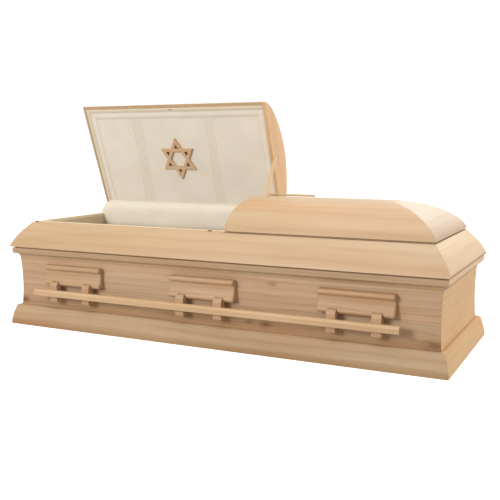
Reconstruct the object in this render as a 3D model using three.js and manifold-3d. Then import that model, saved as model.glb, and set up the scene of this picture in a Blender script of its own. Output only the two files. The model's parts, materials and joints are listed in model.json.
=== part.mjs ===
// Half-couch wooden coffin: moulded base, coved body, crown rim and a hipped lid in two halves.
// The head half of the lid stands propped open, and the foot half is closed.
// Millimetres, +Z up. X runs from head (-) to foot (+) and the front is -Y.
// The origin is the base's bottom centre.

import * as THREE from 'three';
import { mergeVertices } from 'three/addons/utils/BufferGeometryUtils.js';
import Module from 'manifold-3d';

const wasm = await Module();
wasm.setup();

// Plan of the body, to the lip of the rim
const HALF_LENGTH = 1050;
const HALF_WIDTH = 365;
const GAP = 0.3;
const MITRE_GAP = 0.2;

// Heights, from the floor up
const BASE_TOP = 93;
const PANEL_TOP = 372;
const BAND_BOTTOM = 320;
const RIM_LIP = 375;
const RIM_TOP = 486.5;
const LEDGE_TOP = 491;
const LID_RIM = 492;
const LID_CREST = 624;

// Insets, measured inward from the lip of the rim
const BASE_INSET = -4.5;
const BASE_INNER = 18;
const PANEL_INSET = 33;
const PANEL_THICKNESS = 20;
const COVE_DEPTH = 4.5;
const BAND_INSET = 8;
const RIM_TOP_INSET = 78;
const RIM_INNER_INSET = 108;
const LEDGE_INSET = 88;
const LID_INSET = 75;
const LINING_INSET = 108.6;
const LINING_THICKNESS = 4;

// Bottom board and its lining
const BOTTOM_THICKNESS = 18;
const FLOOR_LINING_THICKNESS = 6;

// Lid halves
const CUT_X = 77;
const LID_WALL = 28;
const END_BOARD = 17;
const HEADER_THICKNESS = 5;
const LID_CLEARANCE = 1;
const LID_LINING_RECESS = 5;
const LID_LINING_THICKNESS = 6;
const LID_LINING_INSET = 113;
const LID_OPEN = THREE.MathUtils.degToRad(71);
const HINGE_Y = 298;
const HINGE_Z = 491.5;

// Star on the lid lining
const STAR_X = -453.5;
const STAR_Y = -10;
const STAR_RADIUS = 109;
const STAR_STRIP = 17;
const STAR_THICKNESS = 9;

// Prop and loose strip on the foot lid
const PROP_SIDE = 14;
const PROP_CLEARANCE = 1;
const PROP_FOOT = new THREE.Vector3(158, -52, 621);
const PROP_HEAD = new THREE.Vector3(CUT_X + PROP_SIDE / 2 + PROP_CLEARANCE, 200, 797);
const STRIP_LENGTH = 230;
const STRIP_WIDTH = 18;
const STRIP_THICKNESS = 9;
const STRIP_CENTRE_X = 238;
const STRIP_CENTRE_Y = 42;

// Carrying handles: plates, swinging arms and one long bar on each side
const PLATE_LENGTH = 317;
const PLATE_SPACING = 687;
const PLATE_TOP = 298;
const PLATE_BOTTOM = 203.5;
const PLATE_FIELD_Y = 345;
const BEAD_RADIUS = 12;
const BEAD_Y = 351;
const ROLL_RADIUS = 12.5;
const ROLL_Y = 350;
const PIVOT_Y = 361;
const PIVOT_Z = 204;
const KNUCKLE_RADIUS = 18;
const KNUCKLE_CLEARANCE = 1.2;
const ARM_WIDTH = 39;
const ARM_SPREAD = 92;
const ARM_BOTTOM = 129;
const ARM_TOE = 8;
const BAR_HALF_LENGTH = 875;
const BAR_DEPTH = 25;
const BAR_HEIGHT = 29;
const BAR_BOTTOM = 158;
const BAR_ARRIS = 2.5;
const BAR_CHAMFER = 8;

// Overthrow: the padded fold of lining along the back of the opening
const ROLL_PAD_Y = 226;
const ROLL_PAD_Z = 462;
const ROLL_PAD_RADIUS = 24;
const ROLL_PAD_HEAD_X = -930;
const ROLL_PAD_FOOT_X = 70;

// Hinges on the back of the rim
const HINGE_RADIUS = 5;
const HINGE_LENGTH = 90;
const HINGE_PLACES = [-760, -130];

const PINE_FRONT = new THREE.MeshStandardMaterial({ color: 0xc9a77f, roughness: 0.55, metalness: 0 });
const PINE_RIM = new THREE.MeshStandardMaterial({ color: 0xdfc29b, roughness: 0.55, metalness: 0 });
const PINE_LID = new THREE.MeshStandardMaterial({ color: 0xe3c7a2, roughness: 0.5, metalness: 0 });
const PINE_HANDLE = new THREE.MeshStandardMaterial({ color: 0xcba981, roughness: 0.55, metalness: 0 });
const STAR_WOOD = new THREE.MeshStandardMaterial({ color: 0xbc9b76, roughness: 0.6, metalness: 0 });
const LINING_CLOTH = new THREE.MeshStandardMaterial({ color: 0xe2d8c6, roughness: 0.9, metalness: 0 });
const HINGE_STEEL = new THREE.MeshStandardMaterial({ color: 0x8f8a80, roughness: 0.4, metalness: 0.9 });

const coffin = new THREE.Group();
const headLid = new THREE.Group();
headLid.position.set(0, HINGE_Y, HINGE_Z);
headLid.rotation.x = -LID_OPEN;
coffin.add(headLid);

// Names a geometry as a piece of the coffin, or of a group in it.
function addPiece(name, geometry, material, parent = coffin) {
  const mesh = new THREE.Mesh(geometry, material);
  mesh.name = name;
  parent.add(mesh);
  return mesh;
}

// Shapes and solids

function vec(x, y) {
  return new THREE.Vector2(x, y);
}

function arc(centreX, centreY, radius, startDegrees, endDegrees, steps) {
  const points = [];
  for (let i = 0; i <= steps; i += 1) {
    const angle = THREE.MathUtils.degToRad(startDegrees + ((endDegrees - startDegrees) * i) / steps);
    points.push(vec(centreX + radius * Math.cos(angle), centreY + radius * Math.sin(angle)));
  }
  return points;
}

function bend(start, control, end, steps) {
  return new THREE.QuadraticBezierCurve(start, control, end).getPoints(steps);
}

function welded(geometry) {
  geometry.deleteAttribute('normal');
  geometry.deleteAttribute('uv');
  return mergeVertices(geometry, 1e-3);
}

// Extrudes an outline by one unit and carries each vertex (u, v, w) to its place.
function sweep(outline, place) {
  const shape = new THREE.Shape(outline);
  const geometry = new THREE.ExtrudeGeometry(shape, { depth: 1, steps: 1, bevelEnabled: false });
  const position = geometry.attributes.position;
  for (let i = 0; i < position.count; i += 1) {
    position.setXYZ(i, ...place(position.getX(i), position.getY(i), position.getZ(i)));
  }
  return welded(geometry);
}

// A straight piece along X from an outline of (y, z) points.
function alongX(outline, startX, endX) {
  return sweep(outline, (y, z, w) => [startX + w * (endX - startX), y, z]);
}

// A flat piece from an outline of (x, y) points.
function flat(outline, bottom, top) {
  return sweep(outline, (x, y, w) => [x, y, bottom + w * (top - bottom)]);
}

function block(minX, maxX, minY, maxY, minZ, maxZ) {
  return flat([vec(minX, minY), vec(maxX, minY), vec(maxX, maxY), vec(minX, maxY)], minZ, maxZ);
}

function toSolid(geometry) {
  const indexed = geometry.index ? geometry : welded(geometry);
  const vertProperties = Float32Array.from(indexed.attributes.position.array);
  const triVerts = Uint32Array.from(indexed.index.array);
  return new wasm.Manifold(new wasm.Mesh({ numProp: 3, vertProperties, triVerts }));
}

function toGeometry(solid) {
  const mesh = solid.getMesh();
  const geometry = new THREE.BufferGeometry();
  geometry.setAttribute('position', new THREE.BufferAttribute(mesh.vertProperties, 3));
  geometry.setIndex(new THREE.BufferAttribute(mesh.triVerts, 1));
  return geometry;
}

// A frame moulding: one outline of (inset, height) points, mitred at the corners, on all four sides.
function addFrame(name, outline, material) {
  const sides = [
    ['front', HALF_LENGTH, HALF_WIDTH, 0],
    ['back', HALF_LENGTH, HALF_WIDTH, Math.PI],
    ['head', HALF_WIDTH, HALF_LENGTH, -Math.PI / 2],
    ['foot', HALF_WIDTH, HALF_LENGTH, Math.PI / 2],
  ];
  for (const [side, halfRun, halfAcross, turn] of sides) {
    const run = sweep(outline, (inset, height, w) => [
      (2 * w - 1) * (halfRun - inset - MITRE_GAP),
      inset - halfAcross,
      height,
    ]);
    addPiece(`${name}_${side}`, run, material).rotation.z = turn;
  }
}

// Body

function coveInset(height) {
  const middle = (BASE_TOP + BAND_BOTTOM) / 2;
  const reach = (BAND_BOTTOM - BASE_TOP) / 2;
  const along = Math.min(Math.abs(height - middle) / reach, 1);
  return PANEL_INSET + COVE_DEPTH * (1 - along * along);
}

// The base leans in from its toe to a rounded shoulder and is flat on top.
function baseOutline() {
  const toe = vec(BASE_INSET, 14);
  const shoulder = vec(11, 78);
  const brow = vec(25, BASE_TOP);
  return [
    vec(BASE_INSET + 1, 0),
    vec(BASE_INSET, 1),
    ...bend(toe, vec(2, 52), shoulder, 6),
    ...bend(shoulder, vec(15, BASE_TOP - 1), brow, 5).slice(1),
    vec(PANEL_INSET + PANEL_THICKNESS + 1, BASE_TOP),
    vec(PANEL_INSET + PANEL_THICKNESS + 1, BASE_TOP - 18),
    vec(BASE_INNER + 12, BASE_TOP - 30),
    vec(BASE_INNER, BASE_TOP - 42),
    vec(BASE_INNER, 0),
  ];
}

function panelOutline() {
  const steps = 10;
  const points = [];
  for (let i = 0; i <= steps; i += 1) {
    const height = BASE_TOP + GAP + ((BAND_BOTTOM - BASE_TOP - GAP) * i) / steps;
    points.push(vec(coveInset(height), height));
  }
  points.push(vec(PANEL_INSET, PANEL_TOP));
  points.push(vec(PANEL_INSET + PANEL_THICKNESS, PANEL_TOP));
  points.push(vec(PANEL_INSET + PANEL_THICKNESS, BASE_TOP + GAP));
  return points;
}

// The band has a quirk above its face, so that a dark line parts it from the rim.
function bandOutline() {
  const nose = 7;
  const quirkDepth = 9;
  const face = PANEL_TOP - 5;
  const back = PANEL_INSET - GAP;
  const underside = 340;
  return [
    vec(back, PANEL_TOP),
    vec(BAND_INSET + quirkDepth, PANEL_TOP),
    vec(BAND_INSET + quirkDepth, face),
    vec(BAND_INSET + 1, face),
    vec(BAND_INSET, face - 1),
    ...arc(BAND_INSET + nose, underside + nose, nose, 180, 270, 4),
    ...bend(vec(BAND_INSET + nose + 4, underside), vec(back - 1, underside - 2), vec(back, BAND_BOTTOM), 4),
  ];
}

function rimOutline() {
  const sole = PANEL_TOP + GAP;
  return [
    vec(1.5, sole),
    vec(0, sole + 1),
    ...bend(vec(0, RIM_LIP), vec(16, 424), vec(RIM_TOP_INSET - 2, RIM_TOP - 1.5), 12),
    vec(RIM_TOP_INSET + 0.5, RIM_TOP),
    vec(RIM_INNER_INSET, RIM_TOP),
    vec(RIM_INNER_INSET, RIM_TOP - 24),
    ...bend(vec(RIM_INNER_INSET - 10, RIM_TOP - 36), vec(54, 416), vec(40, sole), 4),
  ];
}

function ledgeOutline() {
  const sole = RIM_TOP + GAP;
  return [
    vec(LEDGE_INSET, sole),
    vec(LEDGE_INSET, LEDGE_TOP - 1.5),
    vec(LEDGE_INSET + 1.5, LEDGE_TOP),
    vec(RIM_INNER_INSET, LEDGE_TOP),
    vec(RIM_INNER_INSET, sole),
  ];
}

function liningOutline() {
  const bottom = BOTTOM_THICKNESS + GAP;
  return [
    vec(LINING_INSET, bottom),
    vec(LINING_INSET, LEDGE_TOP - 1),
    vec(LINING_INSET + LINING_THICKNESS, LEDGE_TOP - 1),
    vec(LINING_INSET + LINING_THICKNESS, bottom),
  ];
}

addFrame('base_moulding', baseOutline(), PINE_FRONT);
addFrame('body_panel', panelOutline(), PINE_FRONT);
addFrame('band_moulding', bandOutline(), PINE_FRONT);
addFrame('rim_moulding', rimOutline(), PINE_RIM);
addFrame('rim_ledge', ledgeOutline(), PINE_RIM);
addFrame('body_lining', liningOutline(), LINING_CLOTH);

const bottomLength = HALF_LENGTH - BASE_INNER - GAP;
const bottomWidth = HALF_WIDTH - BASE_INNER - GAP;
addPiece(
  'bottom_board',
  block(-bottomLength, bottomLength, -bottomWidth, bottomWidth, 0, BOTTOM_THICKNESS),
  PINE_FRONT,
);

const floorInset = LINING_INSET + LINING_THICKNESS + GAP;
const floorLength = HALF_LENGTH - floorInset;
const floorWidth = HALF_WIDTH - floorInset;
const floorBottom = BOTTOM_THICKNESS + GAP;
const floorTop = floorBottom + FLOOR_LINING_THICKNESS;
addPiece(
  'floor_lining',
  block(-floorLength, floorLength, -floorWidth, floorWidth, floorBottom, floorTop),
  LINING_CLOTH,
);

addPiece(
  'overthrow_roll',
  alongX(arc(ROLL_PAD_Y, ROLL_PAD_Z, ROLL_PAD_RADIUS, 0, 345, 23), ROLL_PAD_HEAD_X, ROLL_PAD_FOOT_X),
  LINING_CLOTH,
);

// Lid halves, drawn closed

const ARCH_STEPS = 20;
const archCurve = new THREE.CubicBezierCurve(
  vec(LID_INSET, LID_RIM + 2),
  vec(LID_INSET + 24, LID_RIM + 68),
  vec(HALF_WIDTH - 132, LID_CREST),
  vec(HALF_WIDTH, LID_CREST),
);

// Outer face of the lid from its lower edge to the crest, as (inset, height) points.
function archOuter() {
  return [vec(LID_INSET + 1.5, LID_RIM), ...archCurve.getPoints(ARCH_STEPS)];
}

// Inner face, one wall thickness inside, from the crest down to the level of the rim.
function archInner() {
  const points = [];
  for (let i = ARCH_STEPS; i >= 0; i -= 1) {
    const tangent = archCurve.getTangent(i / ARCH_STEPS);
    const inner = archCurve.getPoint(i / ARCH_STEPS).add(vec(tangent.y, -tangent.x).multiplyScalar(LID_WALL));
    if (inner.y <= LID_RIM + 1) {
      break;
    }
    points.push(inner);
  }
  points.push(vec(points[points.length - 1].x - 1.5, LID_RIM));
  return points;
}

// Both slopes of the arch, as (y, z) points, from an outline of one slope.
function mirrored(slope) {
  const front = slope.map((point) => vec(point.x - HALF_WIDTH, point.y));
  const back = slope.slice(0, -1).map((point) => vec(HALF_WIDTH - point.x, point.y));
  return [...front, ...back.reverse()];
}

function archShellOutline() {
  const inner = archInner().reverse();
  return [...mirrored(archOuter()), ...mirrored(inner).reverse()];
}

// The plan of a hip: a wedge between the two mitre lines of one end.
function hipWedge(clearance) {
  const apex = HALF_LENGTH - HALF_WIDTH - clearance;
  const outer = HALF_LENGTH + 50;
  const spread = outer - apex;
  return toSolid(flat([vec(apex, 0), vec(outer, -spread), vec(outer, spread)], LID_RIM - 20, LID_CREST + 20));
}

function hipSolid() {
  const outline = [...archOuter(), ...archInner()].map((point) => vec(HALF_LENGTH - point.x, point.y));
  const run = sweep(outline, (x, z, w) => [x, (1 - 2 * w) * HALF_WIDTH, z]);
  return toSolid(run).intersect(hipWedge(-MITRE_GAP));
}

function topSolid(startX) {
  return toSolid(alongX(archShellOutline(), startX, HALF_LENGTH)).subtract(hipWedge(MITRE_GAP));
}

const halfTurn = [0, 0, 180];
const footTopStart = CUT_X + LID_CLEARANCE + HEADER_THICKNESS + GAP;
const headTopEnd = CUT_X - END_BOARD - GAP;
const hip = hipSolid();
const dOutline = mirrored(archOuter());

addPiece('foot_lid_top', toGeometry(topSolid(footTopStart)), PINE_LID);
addPiece('foot_lid_hip', toGeometry(hip), PINE_LID);
addPiece(
  'foot_lid_header',
  alongX(dOutline, CUT_X + LID_CLEARANCE, CUT_X + LID_CLEARANCE + HEADER_THICKNESS),
  PINE_LID,
);

// Pieces of the head lid hang from the hinge line.
function addToHeadLid(name, geometry, material) {
  geometry.translate(0, -HINGE_Y, -HINGE_Z);
  return addPiece(name, geometry, material, headLid);
}

addToHeadLid('head_lid_top', toGeometry(topSolid(-headTopEnd).rotate(halfTurn)), PINE_LID);
addToHeadLid('head_lid_hip', toGeometry(hip.rotate(halfTurn)), PINE_LID);
addToHeadLid('head_lid_end_board', alongX(dOutline, CUT_X - END_BOARD, CUT_X), PINE_LID);

const lidLiningFace = LID_RIM + LID_LINING_RECESS;
addToHeadLid(
  'head_lid_lining',
  block(
    LID_LINING_INSET - HALF_LENGTH,
    headTopEnd,
    LID_LINING_INSET - HALF_WIDTH,
    HALF_WIDTH - LID_LINING_INSET,
    lidLiningFace,
    lidLiningFace + LID_LINING_THICKNESS,
  ),
  LINING_CLOTH,
);

// Star: two frames of three strips, laid over each other and joined in one plane
function triangle(radius, turnDegrees) {
  return [0, 120, 240].map((step) => {
    const angle = THREE.MathUtils.degToRad(turnDegrees + step);
    return vec(STAR_X + radius * Math.cos(angle), STAR_Y + radius * Math.sin(angle));
  });
}

function triangleFrame(turnDegrees) {
  const top = lidLiningFace - GAP;
  const bottom = top - STAR_THICKNESS;
  const outer = toSolid(flat(triangle(STAR_RADIUS, turnDegrees), bottom, top));
  const inner = toSolid(flat(triangle(STAR_RADIUS - 2 * STAR_STRIP, turnDegrees), bottom - 1, top + 1));
  return outer.subtract(inner);
}

addToHeadLid('star', toGeometry(triangleFrame(90).add(triangleFrame(-90))), STAR_WOOD);

// Hinges: a barrel on the hinge line with its leaf screwed to the back of the ledge

function hingeOutline() {
  const leafFace = HALF_WIDTH - LEDGE_INSET + GAP;
  const leafOuter = leafFace + 1.6;
  const leafBottom = RIM_TOP + 2 * GAP;
  return [
    vec(leafFace, leafBottom),
    vec(leafOuter, leafBottom),
    vec(leafOuter + 3, HINGE_Z - 4),
    ...arc(HINGE_Y, HINGE_Z, HINGE_RADIUS, 230, 495, 10),
    vec(HINGE_Y - 5, HINGE_Z - 2),
    vec(leafFace, LEDGE_TOP - 2.5),
  ];
}

HINGE_PLACES.forEach((place, i) => {
  const start = place - HINGE_LENGTH / 2;
  addPiece(`lid_hinge_${i + 1}`, alongX(hingeOutline(), start, start + HINGE_LENGTH), HINGE_STEEL);
});

// Prop: a square stick from the crest of the foot lid to the edge of the head lid's end board

function archHeight(y) {
  const inset = HALF_WIDTH - Math.abs(y);
  const points = archCurve.getPoints(200);
  const next = points.findIndex((point) => point.x >= inset);
  return points[Math.max(next, 0)].y;
}

function propGeometry() {
  const half = PROP_SIDE / 2;
  const rise = PROP_HEAD.z - PROP_FOOT.z;
  const shiftX = (PROP_HEAD.x - PROP_FOOT.x) / rise;
  const shiftY = (PROP_HEAD.y - PROP_FOOT.y) / rise;
  const section = [vec(-half, -half), vec(half, -half), vec(half, half), vec(-half, half)];
  return sweep(section, (u, v, w) => {
    const foot = archHeight(PROP_FOOT.y + v) + GAP;
    const height = w > 0.5 ? PROP_HEAD.z : foot;
    return [
      PROP_FOOT.x + u + shiftX * (height - PROP_FOOT.z),
      PROP_FOOT.y + v + shiftY * (height - PROP_FOOT.z),
      height,
    ];
  });
}

addPiece('prop_stick', propGeometry(), PINE_LID);

const stripBottom = LID_CREST + GAP;
addPiece(
  'crest_strip',
  block(
    STRIP_CENTRE_X - STRIP_LENGTH / 2,
    STRIP_CENTRE_X + STRIP_LENGTH / 2,
    STRIP_CENTRE_Y - STRIP_WIDTH / 2,
    STRIP_CENTRE_Y + STRIP_WIDTH / 2,
    stripBottom,
    stripBottom + STRIP_THICKNESS,
  ),
  PINE_RIM,
);

// Handles, drawn for the front; the back set is the same, turned about

// Moulded plate in section: a bead above, a hollow field and a roll below, with the back fitted to the cove.
function plateOutline() {
  const rollZ = PLATE_BOTTOM + ROLL_RADIUS;
  const beadZ = PLATE_TOP - BEAD_RADIUS;
  const fieldZ = (beadZ + rollZ) / 2;
  const roll = arc(-ROLL_Y, rollZ, ROLL_RADIUS, 115, 285, 8);
  const backSteps = 4;
  const back = [];
  for (let i = 0; i <= backSteps; i += 1) {
    const height = PLATE_BOTTOM + 6 + ((PLATE_TOP - PLATE_BOTTOM - 6) * i) / backSteps;
    back.push(vec(coveInset(height) - GAP - HALF_WIDTH, height));
  }
  return [
    ...back,
    ...arc(-BEAD_Y, beadZ, BEAD_RADIUS, 90, 235, 7),
    ...bend(vec(-BEAD_Y + 3, beadZ - BEAD_RADIUS), vec(-PLATE_FIELD_Y, fieldZ), roll[0], 6).slice(0, -1),
    ...roll,
  ];
}

function knuckleCut(armX) {
  const half = ARM_WIDTH / 2 + KNUCKLE_CLEARANCE;
  const cut = arc(-PIVOT_Y, PIVOT_Z, KNUCKLE_RADIUS + KNUCKLE_CLEARANCE, 0, 345, 23);
  return toSolid(alongX(cut, armX - half, armX + half));
}

function plateGeometry(centreX) {
  let plate = toSolid(alongX(plateOutline(), centreX - PLATE_LENGTH / 2, centreX + PLATE_LENGTH / 2));
  for (const side of [-1, 1]) {
    plate = plate.subtract(knuckleCut(centreX + side * ARM_SPREAD));
  }
  return toGeometry(plate);
}

function armOutline() {
  const front = -PIVOT_Y - KNUCKLE_RADIUS;
  const back = -PIVOT_Y + KNUCKLE_RADIUS;
  return [
    ...arc(-PIVOT_Y, PIVOT_Z, KNUCKLE_RADIUS, 0, 180, 12),
    ...arc(front + ARM_TOE, ARM_BOTTOM + ARM_TOE, ARM_TOE, 180, 270, 3),
    ...arc(back - ARM_TOE, ARM_BOTTOM + ARM_TOE, ARM_TOE, 270, 360, 3),
  ];
}

function barOutline() {
  const back = -PIVOT_Y - KNUCKLE_RADIUS - GAP;
  const front = back - BAR_DEPTH;
  const top = BAR_BOTTOM + BAR_HEIGHT;
  return [
    vec(back, BAR_BOTTOM),
    vec(back, top),
    vec(front + BAR_CHAMFER, top),
    vec(front, top - BAR_CHAMFER),
    vec(front, BAR_BOTTOM + BAR_ARRIS),
    vec(front + BAR_ARRIS, BAR_BOTTOM),
  ];
}

function addHandleSet(side, turn) {
  const set = new THREE.Group();
  set.rotation.z = turn;
  coffin.add(set);
  [-1, 0, 1].forEach((place, plate) => {
    const centreX = place * PLATE_SPACING;
    addPiece(`${side}_handle_plate_${plate + 1}`, plateGeometry(centreX), PINE_HANDLE, set);
    [-1, 1].forEach((hand, arm) => {
      const armX = centreX + hand * ARM_SPREAD;
      const geometry = alongX(armOutline(), armX - ARM_WIDTH / 2, armX + ARM_WIDTH / 2);
      addPiece(`${side}_handle_arm_${2 * plate + arm + 1}`, geometry, PINE_HANDLE, set);
    });
  });
  addPiece(`${side}_handle_bar`, alongX(barOutline(), -BAR_HALF_LENGTH, BAR_HALF_LENGTH), PINE_HANDLE, set);
}

addHandleSet('front', 0);
addHandleSet('back', Math.PI);

export default coffin;
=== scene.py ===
"""Looks of a half-couch pine coffin: moulded casework, two lid halves, swing handles and a crepe interior.

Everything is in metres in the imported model's own frame: X runs from head (-) to foot (+), the front is -Y
and the floor is Z = 0. Pieces of the head lid are worked out closed and then swung open on the hinge line.
"""

import json
import logging
import math
import zlib
from collections.abc import Callable
from dataclasses import dataclass, field
from enum import Enum

import bmesh
import bpy
from mathutils import Matrix, Vector, noise

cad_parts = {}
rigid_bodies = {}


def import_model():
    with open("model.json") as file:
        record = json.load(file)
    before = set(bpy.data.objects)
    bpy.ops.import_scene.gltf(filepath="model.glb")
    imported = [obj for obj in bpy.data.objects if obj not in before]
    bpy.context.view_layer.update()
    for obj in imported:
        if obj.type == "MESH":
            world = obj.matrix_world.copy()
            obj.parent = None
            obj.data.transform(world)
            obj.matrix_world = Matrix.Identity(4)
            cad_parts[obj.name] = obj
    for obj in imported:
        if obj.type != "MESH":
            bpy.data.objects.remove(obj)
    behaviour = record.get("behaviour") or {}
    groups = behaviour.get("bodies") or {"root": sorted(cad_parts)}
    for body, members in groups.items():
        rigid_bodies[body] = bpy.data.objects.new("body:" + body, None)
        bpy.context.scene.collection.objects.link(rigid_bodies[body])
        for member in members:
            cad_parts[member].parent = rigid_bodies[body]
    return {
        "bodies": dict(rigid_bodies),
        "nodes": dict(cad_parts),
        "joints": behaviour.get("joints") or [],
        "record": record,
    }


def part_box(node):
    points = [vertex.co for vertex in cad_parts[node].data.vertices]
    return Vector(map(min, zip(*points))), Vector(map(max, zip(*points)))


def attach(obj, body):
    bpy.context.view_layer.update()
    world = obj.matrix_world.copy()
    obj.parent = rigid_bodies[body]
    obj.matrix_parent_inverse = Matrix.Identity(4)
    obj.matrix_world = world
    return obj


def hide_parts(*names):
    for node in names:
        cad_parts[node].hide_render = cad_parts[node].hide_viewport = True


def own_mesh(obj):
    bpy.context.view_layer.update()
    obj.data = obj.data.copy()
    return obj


LOG = logging.getLogger("coffin")
MM = 0.001
SIDES = ("front", "back", "head", "foot")

# Edges that turn by more degrees than this stay crisp in the shading
WOOD_CORNER = 34.0
STEEL_CORNER = 32.0


class Grain(Enum):
    """Which of a piece's axes the grain runs along, then across the face and into the wood."""

    LONG_UPRIGHT = (0, 2, 1)
    SHORT_UPRIGHT = (1, 2, 0)
    LONG_FLAT = (0, 1, 2)
    SHORT_FLAT = (1, 0, 2)
    STANDING = (2, 0, 1)


class Slot(Enum):
    """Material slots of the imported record."""

    BODY = "body_wood"
    LID = "lid_wood"
    HANDLE = "handle_wood"
    STAR = "star_wood"
    CLOTH = "lining_cloth"
    STEEL = "hinge_steel"


# Shared helpers


def linear(hex_colour: str) -> tuple[float, float, float, float]:
    """Turns an sRGB hex colour into linear light.

    Args:
        hex_colour: Six hex digits, with or without a leading hash.

    Returns:
        Linear red, green and blue, with an alpha of one.
    """
    digits = hex_colour.lstrip("#")
    shares = [int(digits[i:i + 2], 16) / 255 for i in (0, 2, 4)]
    light = [s / 12.92 if s <= 0.04045 else ((s + 0.055) / 1.055) ** 2.4 for s in shares]
    return (light[0], light[1], light[2], 1.0)


def add_node(
    tree: bpy.types.NodeTree,
    kind: str,
    settings: dict | None = None,
    inputs: dict | None = None,
    stops: list[tuple[float, tuple]] | None = None,
) -> bpy.types.Node:
    """Adds a node with its settings, its inputs and, on a ramp, its colour stops.

    Args:
        tree: The node tree that takes the node.
        kind: The node's type name.
        settings: Properties to set on the node.
        inputs: Values or output sockets, by input name or index.
        stops: Positions and colours of a colour ramp.

    Returns:
        The new node.
    """
    node = tree.nodes.new(kind)
    for name, value in (settings or {}).items():
        setattr(node, name, value)
    for key, value in (inputs or {}).items():
        if isinstance(value, bpy.types.NodeSocket):
            tree.links.new(value, node.inputs[key])
        else:
            node.inputs[key].default_value = value
    if stops:
        elements = node.color_ramp.elements
        while len(elements) < len(stops):
            elements.new(1.0)
        for element, (position, colour) in zip(elements, stops):
            element.position = position
            element.color = colour
    return node


def smoothstep(low: float, high: float, value: float) -> float:
    """Eases from 0 at low to 1 at high."""
    share = min(max((value - low) / (high - low), 0.0), 1.0)
    return share * share * (3 - 2 * share)


def seeds(name: str, count: int) -> list[float]:
    """Gives fixed numbers from 0 to 1 for a piece, from its name."""
    return [(zlib.crc32(f"{name}{i}".encode()) % 10007) / 10007 for i in range(count)]


def per_metre(length_mm: float) -> float:
    """Gives how often a pattern of a real size repeats in a metre."""
    return 1 / (length_mm * MM)


def wave_scale(spacing_mm: float) -> float:
    """Gives the Wave texture's scale for a spacing in millimetres, because its waves are 2 pi / 20 apart."""
    return 2 * math.pi / 20 * per_metre(spacing_mm)


def new_material(name: str) -> tuple[bpy.types.Material, bpy.types.NodeTree, bpy.types.Node]:
    """Starts a material.

    Args:
        name: Material name.

    Returns:
        The material, its node tree and its surface shader.
    """
    material = bpy.data.materials.new(name)
    material.use_nodes = True
    tree = material.node_tree
    return material, tree, tree.nodes["Principled BSDF"]


def mesh_from(name: str, solid: bmesh.types.BMesh) -> bpy.types.Mesh:
    """Turns a finished solid into a mesh and lets the solid go.

    Args:
        name: Mesh name.
        solid: The solid, which can't be used again.

    Returns:
        The mesh.
    """
    mesh = bpy.data.meshes.new(name)
    solid.to_mesh(mesh)
    solid.free()
    return mesh


def shade_smooth(mesh: bpy.types.Mesh, corner: float | None = None) -> None:
    """Shades a mesh smooth.

    Args:
        mesh: The mesh.
        corner: Turn in degrees above which an edge stays crisp, if any does.
    """
    mesh.polygons.foreach_set("use_smooth", [True] * len(mesh.polygons))
    if corner:
        mesh.set_sharp_from_angle(angle=math.radians(corner))


def loft(solid: bmesh.types.BMesh, rings: list[list[bmesh.types.BMVert]]) -> None:
    """Skins a row of rings and closes both ends.

    Args:
        solid: The solid that the rings are in.
        rings: Rings of vertices, with the same count in each.
    """
    for before, after in zip(rings, rings[1:]):
        for i in range(len(before)):
            j = (i + 1) % len(before)
            solid.faces.new((before[i], before[j], after[j], after[i]))
    solid.faces.new(rings[0])
    solid.faces.new(rings[-1])
    bmesh.ops.recalc_face_normals(solid, faces=solid.faces)


def cut_across(solid: bmesh.types.BMesh, x: float) -> None:
    """Cuts a line around a solid at a place along X."""
    whole = solid.verts[:] + solid.edges[:] + solid.faces[:]
    bmesh.ops.bisect_plane(solid, geom=whole, plane_co=(x, 0, 0), plane_no=(1, 0, 0))


def set_vectors(mesh: bpy.types.Mesh, name: str, values: list[Vector]) -> None:
    """Stores one vector for each vertex of a mesh, for its material to read."""
    layer = mesh.attributes.new(name, "FLOAT_VECTOR", "POINT")
    layer.data.foreach_set("vector", [number for value in values for number in value])


def object_from(name: str, mesh: bpy.types.Mesh) -> bpy.types.Object:
    """Links a mesh into the scene as an object at the origin.

    Args:
        name: Object name.
        mesh: Its mesh.

    Returns:
        The object.
    """
    piece = bpy.data.objects.new(name, mesh)
    bpy.context.scene.collection.objects.link(piece)
    return piece


# Finishes


@dataclass(frozen=True)
class Knot:
    """A pin knot in a long panel: its place along the coffin and above the floor, its radius and darkness."""

    x: float
    z: float
    radius: float
    depth: float = 1.0


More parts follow.
